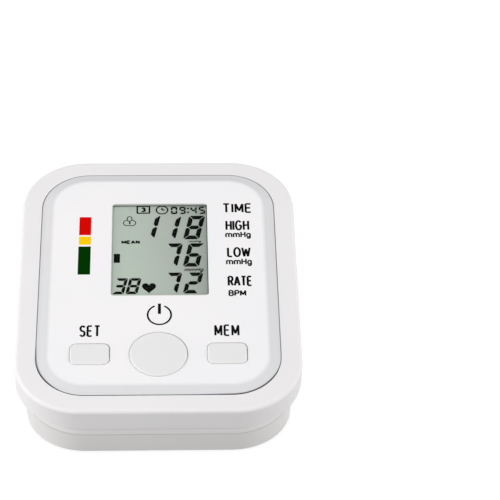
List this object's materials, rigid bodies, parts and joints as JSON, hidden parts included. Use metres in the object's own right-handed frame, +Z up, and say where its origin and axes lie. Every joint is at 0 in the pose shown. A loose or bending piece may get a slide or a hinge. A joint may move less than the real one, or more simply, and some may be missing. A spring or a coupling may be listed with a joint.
{
  "type": "upper arm blood pressure monitor",
  "caption": "Wedge-shaped desktop upper arm blood pressure monitor with a segment display, a round start button, two side buttons, an air socket and a sliding cell door.",
  "frame": {"origin": "on the table, under the middle of the bounding box", "axes": "+Z up, +Y from the front edge to the back, +X to the user's right"},
  "size_m": [0.11, 0.134, 0.0426],
  "materials": {
    "case_white": "fine satin moulded",
    "panel_white": "semi-gloss moulded",
    "button_white": "satin moulded",
    "clear_lens": "clear hard-coated",
    "display_grey": "reflective display",
    "holder_plastic": "moulded",
    "black_rubber": "matt",
    "board_green": "solder mask",
    "screw_steel": "plated",
    "chip_black": "moulded epoxy",
    "valve_blue": "moulded",
    "silicone": "satin",
    "socket_grey": "moulded",
    "cell_sleeve": "plain sleeve"
  },
  "bodies": {
    "housing": {"upper_case": "case_white", "face_panel": "panel_white", "lens": "clear_lens", "display_glass": "display_grey", "display_holder": "holder_plastic", "contact_strips": "black_rubber", "main_board": "board_green", "board_screws": "screw_steel", "control_chip": "chip_black", "memory_chip": "chip_black", "crystal": "screw_steel", "capacitors": "chip_black", "buzzer": "chip_black", "start_switch": "chip_black", "set_switch": "chip_black", "memory_switch": "chip_black", "pressure_sensor": "holder_plastic", "pump_motor": "screw_steel", "pump_head": "holder_plastic", "pump_sleeve": "black_rubber", "exhaust_valve": "valve_blue", "bleed_valve": "holder_plastic", "air_manifold": "holder_plastic", "socket_tube": "silicone", "pump_tube": "silicone", "valve_tube": "silicone", "sensor_tube": "silicone", "air_socket": "socket_grey", "socket_seal": "black_rubber", "power_board": "board_green", "power_port": "screw_steel", "port_tongue": "chip_black", "cell_1": "cell_sleeve", "cell_2": "cell_sleeve", "cell_3": "cell_sleeve", "cell_4": "cell_sleeve", "cell_springs": "screw_steel", "cell_plates": "screw_steel", "lower_case": "case_white", "case_screws": "screw_steel", "rubber_feet": "black_rubber"},
    "start_key": {"start_button": "button_white", "start_plunger": "chip_black"},
    "set_key": {"set_button": "button_white", "set_plunger": "chip_black"},
    "memory_key": {"memory_button": "button_white", "memory_plunger": "chip_black"},
    "cell_door": {"battery_door": "case_white"}
  },
  "joints": [
    {"name": "start_press", "type": "slide", "parent": "housing", "child": "start_key", "axis": [0, 0.1219, -0.9925], "range_m": [0, 0.0006], "stiffness_N_per_m": 1500},
    {"name": "set_press", "type": "slide", "parent": "housing", "child": "set_key", "axis": [0, 0.1219, -0.9925], "range_m": [0, 0.0006], "stiffness_N_per_m": 1500},
    {"name": "memory_press", "type": "slide", "parent": "housing", "child": "memory_key", "axis": [0, 0.1219, -0.9925], "range_m": [0, 0.0006], "stiffness_N_per_m": 1500},
    {"name": "door_slide", "type": "slide", "parent": "housing", "child": "cell_door", "axis": [0, 1, 0], "range_m": [0, 0.06]}
  ]
}
